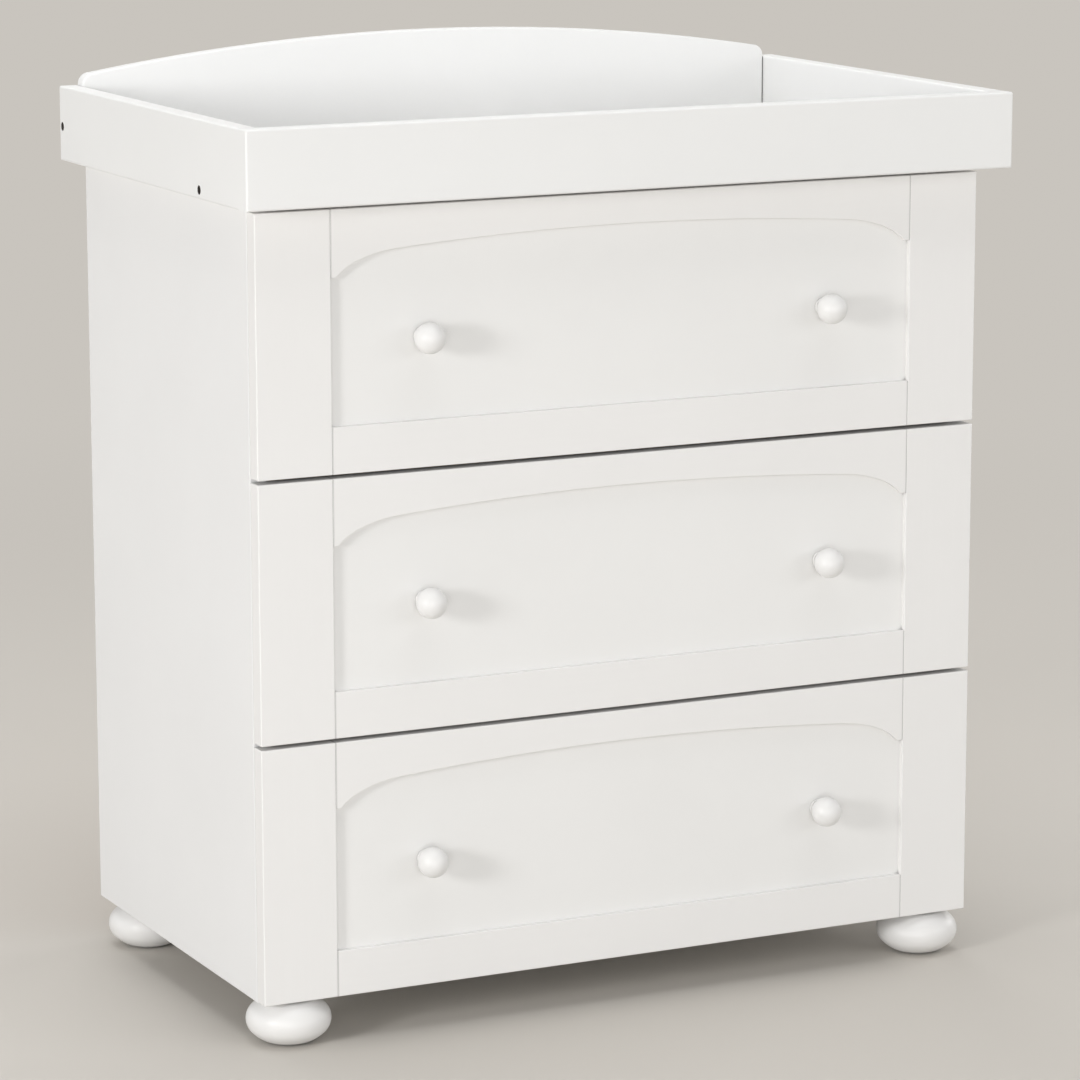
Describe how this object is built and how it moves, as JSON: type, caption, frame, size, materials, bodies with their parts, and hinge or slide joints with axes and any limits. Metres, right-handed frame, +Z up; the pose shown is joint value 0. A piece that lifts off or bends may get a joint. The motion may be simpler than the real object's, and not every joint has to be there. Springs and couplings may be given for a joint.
{
  "type": "changing dresser",
  "caption": "Chest of drawers on bun feet, with arched frame-and-panel drawer fronts, ball knobs and a changing tray with an arched back round its top.",
  "frame": {"origin": "on the floor, under the middle of the box that holds the whole dresser", "axes": "+X to the right seen from the front, -Y out of the drawer fronts, +Z up"},
  "size_m": [0.85, 0.511, 0.9655],
  "materials": {
    "carcass_paint": "satin white paint on board",
    "front_paint": "satin white paint on wood, faint grain",
    "tray_paint": "satin white paint on board, eased edges",
    "turned_paint": "semi-gloss white paint on turned wood",
    "drawer_wood": "clear-lacquered pale softwood",
    "thin_board": "smooth white-faced thin board",
    "beech": "bare beech",
    "zinc_steel": "bright zinc plated",
    "zinc_alloy": "cast zinc alloy"
  },
  "bodies": {
    "carcass": {"dowels": "beech", "cam_fittings": "zinc_alloy", "tray_screws": "zinc_steel", "foot_front_left": "turned_paint", "foot_front_right": "turned_paint", "foot_rear_left": "turned_paint", "foot_rear_right": "turned_paint", "foot_bolts": "zinc_steel", "guide_1_right": "beech", "guide_1_left": "beech", "guide_2_right": "beech", "guide_2_left": "beech", "guide_3_right": "beech", "guide_3_left": "beech", "guide_screws": "zinc_steel", "side_panel_right": "carcass_paint", "side_panel_left": "carcass_paint", "base_panel": "carcass_paint", "back_panel": "thin_board", "top_panel": "carcass_paint", "tray_board_front": "tray_paint", "tray_board_right": "tray_paint", "tray_board_left": "tray_paint", "tray_board_arched": "tray_paint"},
    "drawer_1": {"drawer_1_side_right": "drawer_wood", "drawer_1_side_left": "drawer_wood", "drawer_1_back": "drawer_wood", "drawer_1_bottom": "thin_board", "drawer_1_stile_right": "front_paint", "drawer_1_stile_left": "front_paint", "drawer_1_top_rail": "front_paint", "drawer_1_bottom_rail": "front_paint", "drawer_1_panel": "front_paint", "drawer_1_knob_left": "turned_paint", "drawer_1_knob_right": "turned_paint", "drawer_1_knob_screws": "zinc_steel"},
    "drawer_2": {"drawer_2_side_right": "drawer_wood", "drawer_2_side_left": "drawer_wood", "drawer_2_back": "drawer_wood", "drawer_2_bottom": "thin_board", "drawer_2_stile_right": "front_paint", "drawer_2_stile_left": "front_paint", "drawer_2_top_rail": "front_paint", "drawer_2_bottom_rail": "front_paint", "drawer_2_panel": "front_paint", "drawer_2_knob_left": "turned_paint", "drawer_2_knob_right": "turned_paint", "drawer_2_knob_screws": "zinc_steel"},
    "drawer_3": {"drawer_3_side_right": "drawer_wood", "drawer_3_side_left": "drawer_wood", "drawer_3_back": "drawer_wood", "drawer_3_bottom": "thin_board", "drawer_3_stile_right": "front_paint", "drawer_3_stile_left": "front_paint", "drawer_3_top_rail": "front_paint", "drawer_3_bottom_rail": "front_paint", "drawer_3_panel": "front_paint", "drawer_3_knob_left": "turned_paint", "drawer_3_knob_right": "turned_paint", "drawer_3_knob_screws": "zinc_steel"}
  },
  "joints": [
    {"name": "drawer_1_slide", "type": "slide", "parent": "carcass", "child": "drawer_1", "axis": [0, -1, 0], "range_m": [0, 0.3]},
    {"name": "drawer_2_slide", "type": "slide", "parent": "carcass", "child": "drawer_2", "axis": [0, -1, 0], "range_m": [0, 0.3]},
    {"name": "drawer_3_slide", "type": "slide", "parent": "carcass", "child": "drawer_3", "axis": [0, -1, 0], "range_m": [0, 0.3]}
  ]
}
